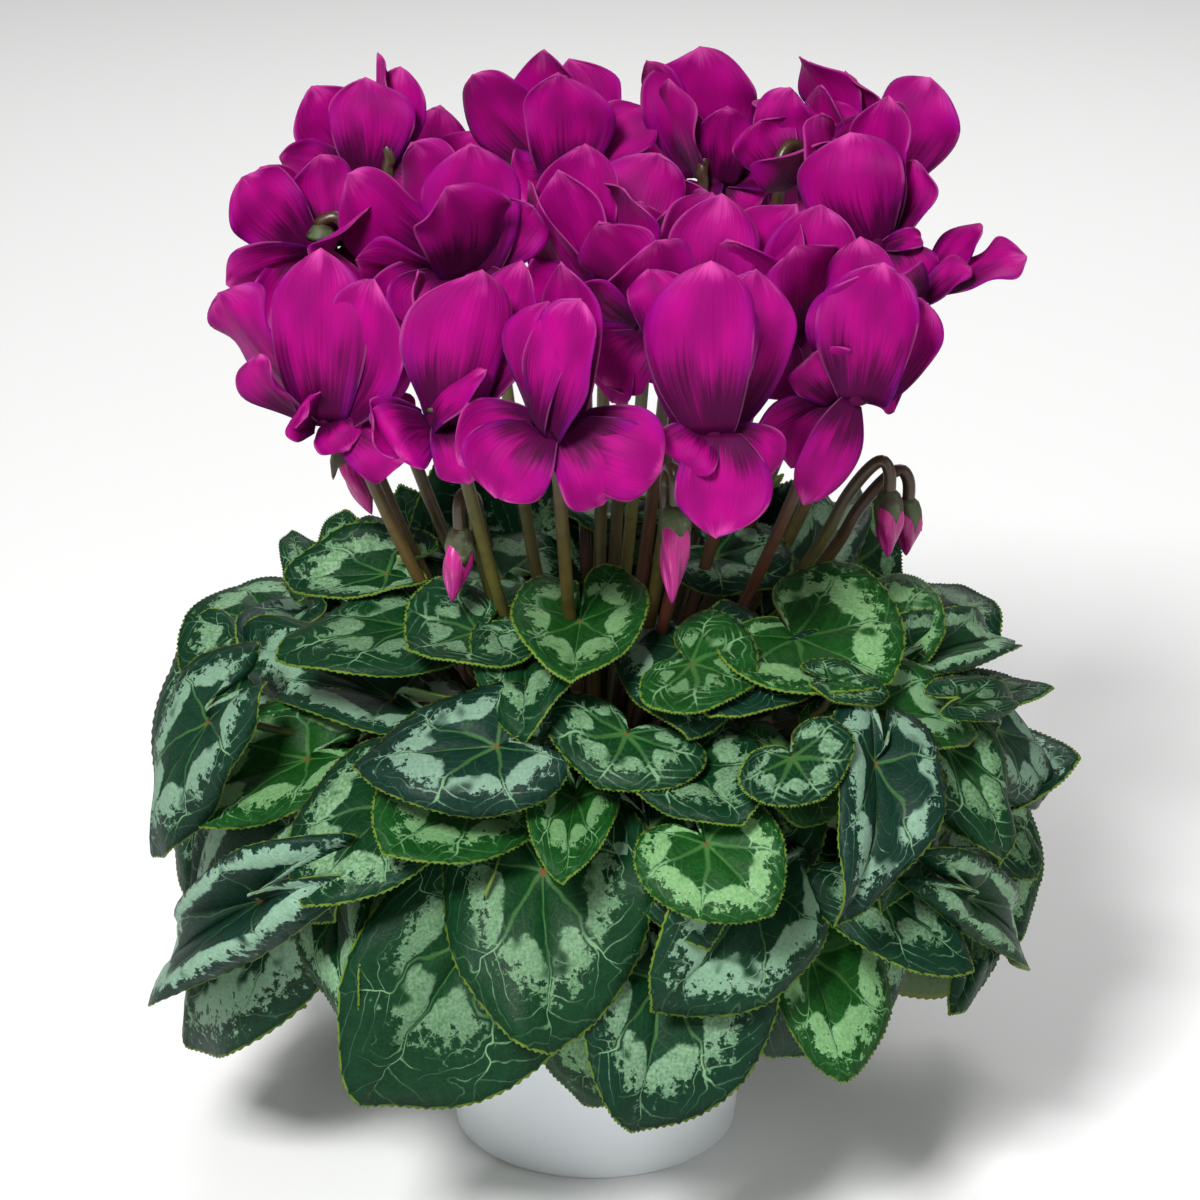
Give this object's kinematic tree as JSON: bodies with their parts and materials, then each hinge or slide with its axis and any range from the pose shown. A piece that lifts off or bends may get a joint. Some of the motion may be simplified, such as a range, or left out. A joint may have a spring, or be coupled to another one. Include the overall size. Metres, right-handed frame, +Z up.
{
  "type": "potted cyclamen",
  "caption": "Potted cyclamen: nodding blooms with upswept petals on bare stalks over a low dome of heart-shaped, silver-marked leaves, in a plain round pot.",
  "frame": {"origin": "middle of the pot's flat underside", "axes": "+Z up along the pot's axis, the front of the plant towards -Y, +X to its right as the front is seen"},
  "size_m": [0.305, 0.3011, 0.3571],
  "materials": {
    "pot": "smooth white plastic",
    "soil": "damp crumbly peat",
    "tuber": "rough corky skin",
    "petal": "soft magenta petal with a velvety sheen",
    "stalk": "smooth olive to red-brown stalk",
    "bud": "pink twisted bud in a grey-green calyx",
    "leaf": "waxy dark green with silver marbling"
  },
  "bodies": {
    "root": {"pot": "pot", "soil": "soil", "tuber": "tuber", "bloom_front_left": "petal", "stalk_front_left": "stalk", "bloom_front_inner_left": "petal", "stalk_front_inner_left": "stalk", "bloom_front_middle": "petal", "stalk_front_middle": "stalk", "bloom_inner_middle": "petal", "stalk_inner_middle": "stalk", "bloom_front_inner_right": "petal", "stalk_front_inner_right": "stalk", "bloom_front_right": "petal", "stalk_front_right": "stalk", "bloom_inner_right": "petal", "stalk_inner_right": "stalk", "bloom_centre_right": "petal", "stalk_centre_right": "stalk", "bloom_middle_left": "petal", "stalk_middle_left": "stalk", "bloom_centre_left": "petal", "stalk_centre_left": "stalk", "bloom_centre": "petal", "stalk_centre": "stalk", "bloom_outer_left": "petal", "stalk_outer_left": "stalk", "bloom_middle_right": "petal", "stalk_middle_right": "stalk", "bloom_outer_right": "petal", "stalk_outer_right": "stalk", "bloom_back_left": "petal", "stalk_back_left": "stalk", "bloom_back_middle": "petal", "stalk_back_middle": "stalk", "bloom_back_inner_right": "petal", "stalk_back_inner_right": "stalk", "bloom_back_outer_right": "petal", "stalk_back_outer_right": "stalk", "bloom_back_right": "petal", "stalk_back_right": "stalk", "bloom_rear_left": "petal", "stalk_rear_left": "stalk", "bloom_rear_middle": "petal", "stalk_rear_middle": "stalk", "bloom_rear_right": "petal", "stalk_rear_right": "stalk", "bud_front_left": "bud", "bud_front_middle": "bud", "bud_right_inner": "bud", "bud_right_outer": "bud", "bud_left": "bud", "leaf_spray_1": "leaf", "leaf_spray_2": "leaf", "leaf_spray_3": "leaf", "leaf_spray_4": "leaf", "leaf_spray_5": "leaf", "leaf_spray_6": "leaf", "leaf_spray_7": "leaf", "leaf_spray_8": "leaf"}
  },
  "joints": []
}
